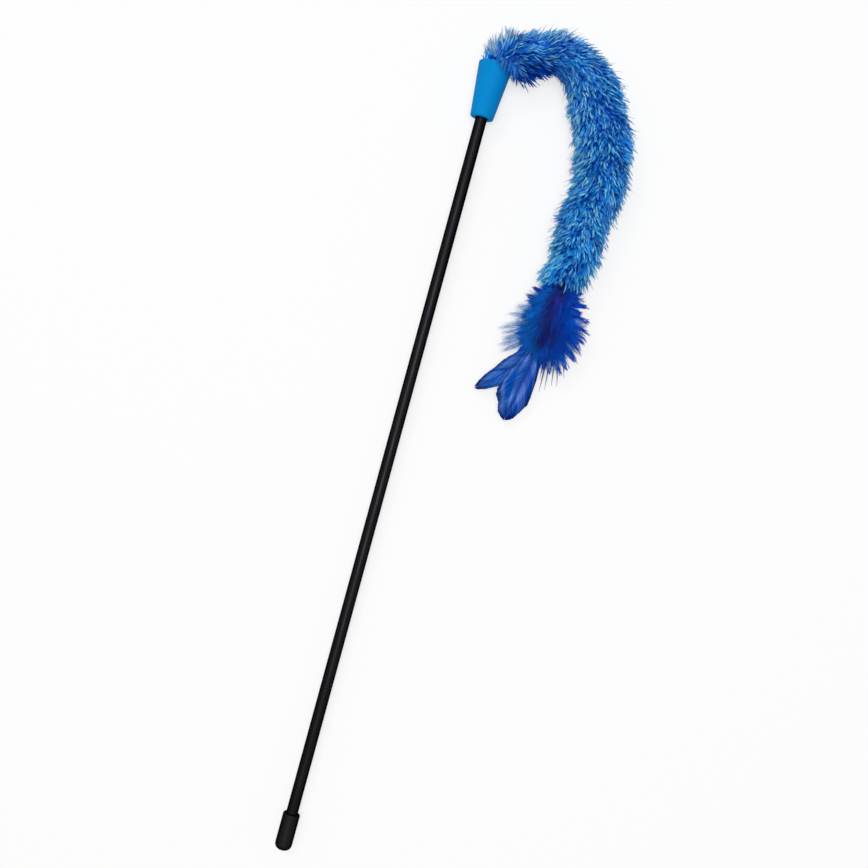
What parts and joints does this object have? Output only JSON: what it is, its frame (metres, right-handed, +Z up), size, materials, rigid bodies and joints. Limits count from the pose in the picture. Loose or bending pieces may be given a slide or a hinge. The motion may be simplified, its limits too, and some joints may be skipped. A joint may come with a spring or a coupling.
{
  "type": "feather cat wand",
  "caption": "Plain rod with a capped butt and a flared collar that holds a springy plush tail ending in a tuft of feathers.",
  "frame": {"origin": "centre of the small flat at the cap's closed end, on the rod's axis", "axes": "+Y from the butt along the rod toward the collar, +Z up from the surface that the wand lies on, +X toward the side that the tail arches over to"},
  "size_m": [0.0966, 0.4822, 0.03],
  "materials": {
    "rod_black": "semi-gloss black",
    "cap_black": "matte black",
    "collar_blue": "matte light blue",
    "plush_blue": "long blue pile",
    "core_cord": "twisted cord",
    "crimp_steel": "plain metal",
    "tie_thread": "waxed thread",
    "spoon_blue": "satin feather vane",
    "marabou_navy": "soft down"
  },
  "bodies": {
    "wand": {"rod": "rod_black", "end_cap": "cap_black", "collar": "collar_blue", "core_crimp": "crimp_steel"},
    "tail_1": {"tail_plush_1": "plush_blue", "tail_core_1": "core_cord"},
    "tail_2": {"tail_plush_2": "plush_blue", "tail_core_2": "core_cord"},
    "tail_3": {"tail_plush_3": "plush_blue", "tail_core_3": "core_cord"},
    "tail_4": {"tail_plush_4": "plush_blue", "tail_core_4": "core_cord"},
    "feathers": {"tie_thread": "tie_thread", "spoon_feather_left": "spoon_blue", "spoon_feather_middle": "spoon_blue", "spoon_feather_right": "spoon_blue", "marabou_plume_1": "marabou_navy", "marabou_plume_2": "marabou_navy", "marabou_plume_3": "marabou_navy", "marabou_plume_4": "marabou_navy", "marabou_plume_5": "marabou_navy", "marabou_plume_6": "marabou_navy", "marabou_plume_7": "marabou_navy", "marabou_plume_8": "marabou_navy"}
  },
  "joints": [
    {"name": "tail_root_swing", "type": "hinge", "parent": "wand", "child": "tail_1", "pos_m": [0, 0.45843, 0.0078], "axis": [0, 0, 1], "range_deg": [-3, 50], "stiffness_Nm_per_rad": 0.06},
    {"name": "tail_arch_lift", "type": "hinge", "parent": "tail_1", "child": "tail_2", "pos_m": [0.01888, 0.46457, 0.0102], "axis": [0.309, -0.9511, 0], "range_deg": [-20, 25], "stiffness_Nm_per_rad": 0.05},
    {"name": "tail_bend_swing", "type": "hinge", "parent": "tail_2", "child": "tail_3", "pos_m": [0.05952, 0.44898, 0.0102], "axis": [0, 0, 1], "range_deg": [-3, 28], "stiffness_Nm_per_rad": 0.04},
    {"name": "tail_drop_lift", "type": "hinge", "parent": "tail_3", "child": "tail_4", "pos_m": [0.072, 0.40044, 0.0102], "axis": [-0.9962, 0.0872, 0], "range_deg": [-25, 25], "stiffness_Nm_per_rad": 0.03},
    {"name": "feather_swing", "type": "hinge", "parent": "tail_4", "child": "feathers", "pos_m": [0.06843, 0.3596, 0.0102], "axis": [0, 0, 1], "range_deg": [-5, 25], "stiffness_Nm_per_rad": 0.006}
  ]
}
